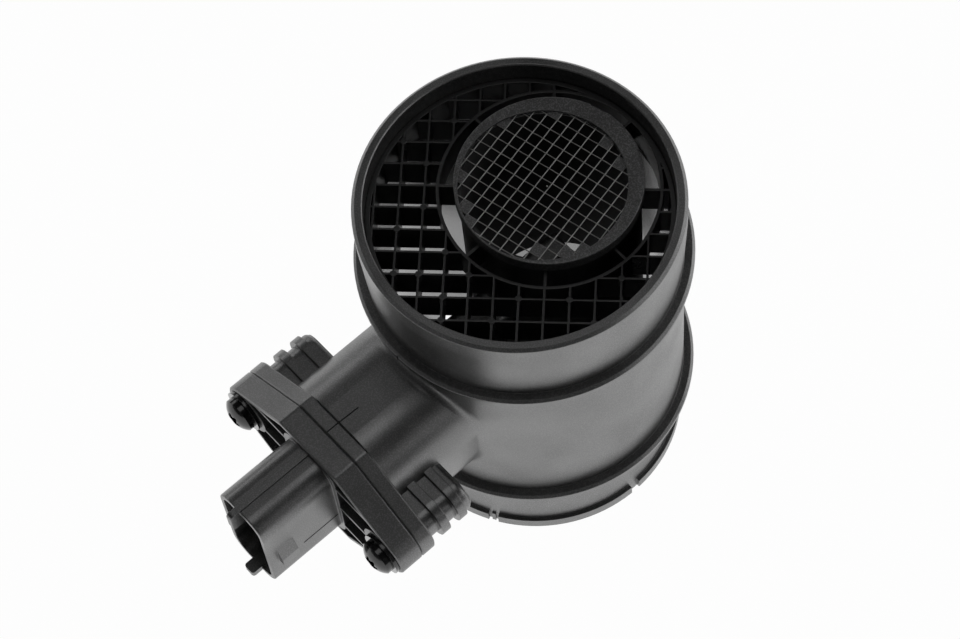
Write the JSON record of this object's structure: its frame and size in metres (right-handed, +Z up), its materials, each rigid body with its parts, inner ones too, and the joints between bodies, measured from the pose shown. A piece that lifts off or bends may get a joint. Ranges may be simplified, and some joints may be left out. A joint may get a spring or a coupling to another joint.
{
  "type": "mass airflow sensor",
  "caption": "Round air duct with a flow grid and fine mesh at its inlet and a plug-in hot-film airflow sensor bolted to its side neck.",
  "frame": {"origin": "centre of the lower (outlet) rim of the air tube", "axes": "+Z up the tube axis to the air inlet, -Y out along the neck to the electrical connector"},
  "size_m": [0.0836, 0.138, 0.109],
  "materials": {
    "housing_plastic": "fine texture",
    "grid_plastic": "fine texture",
    "ring_plastic": "fine texture",
    "mesh_steel": "drawn wire",
    "sensor_plastic": "fine texture",
    "cover_plastic": "fine texture",
    "seal_rubber": "smooth",
    "terminal_metal": "tin plated",
    "plate_metal": "rolled",
    "board_ceramic": "glazed ceramic",
    "chip_case": "moulded",
    "capacitor_body": "fired ceramic",
    "potting_gel": "soft clear gel",
    "carrier_metal": "stamped",
    "element_film": "thin film on silicon",
    "bead_coating": "dipped coating",
    "lead_wire": "tin plated",
    "screw_steel": "gloss black",
    "washer_steel": "gloss black"
  },
  "bodies": {
    "root": {"housing": "housing_plastic", "flow_grid": "grid_plastic", "mesh_ring": "ring_plastic", "wire_mesh": "mesh_steel", "sensor_housing": "sensor_plastic", "neck_seal": "seal_rubber", "terminal_pins": "terminal_metal", "base_plate": "plate_metal", "circuit_board": "board_ceramic", "signal_chip": "chip_case", "board_capacitors": "capacitor_body", "gel_fill": "potting_gel", "electronics_cover": "cover_plastic", "element_carrier": "carrier_metal", "sensing_element": "element_film", "channel_cover": "cover_plastic", "thermistor_bead": "bead_coating", "thermistor_leads": "lead_wire", "flange_screws": "screw_steel", "screw_washers": "washer_steel"}
  },
  "joints": []
}
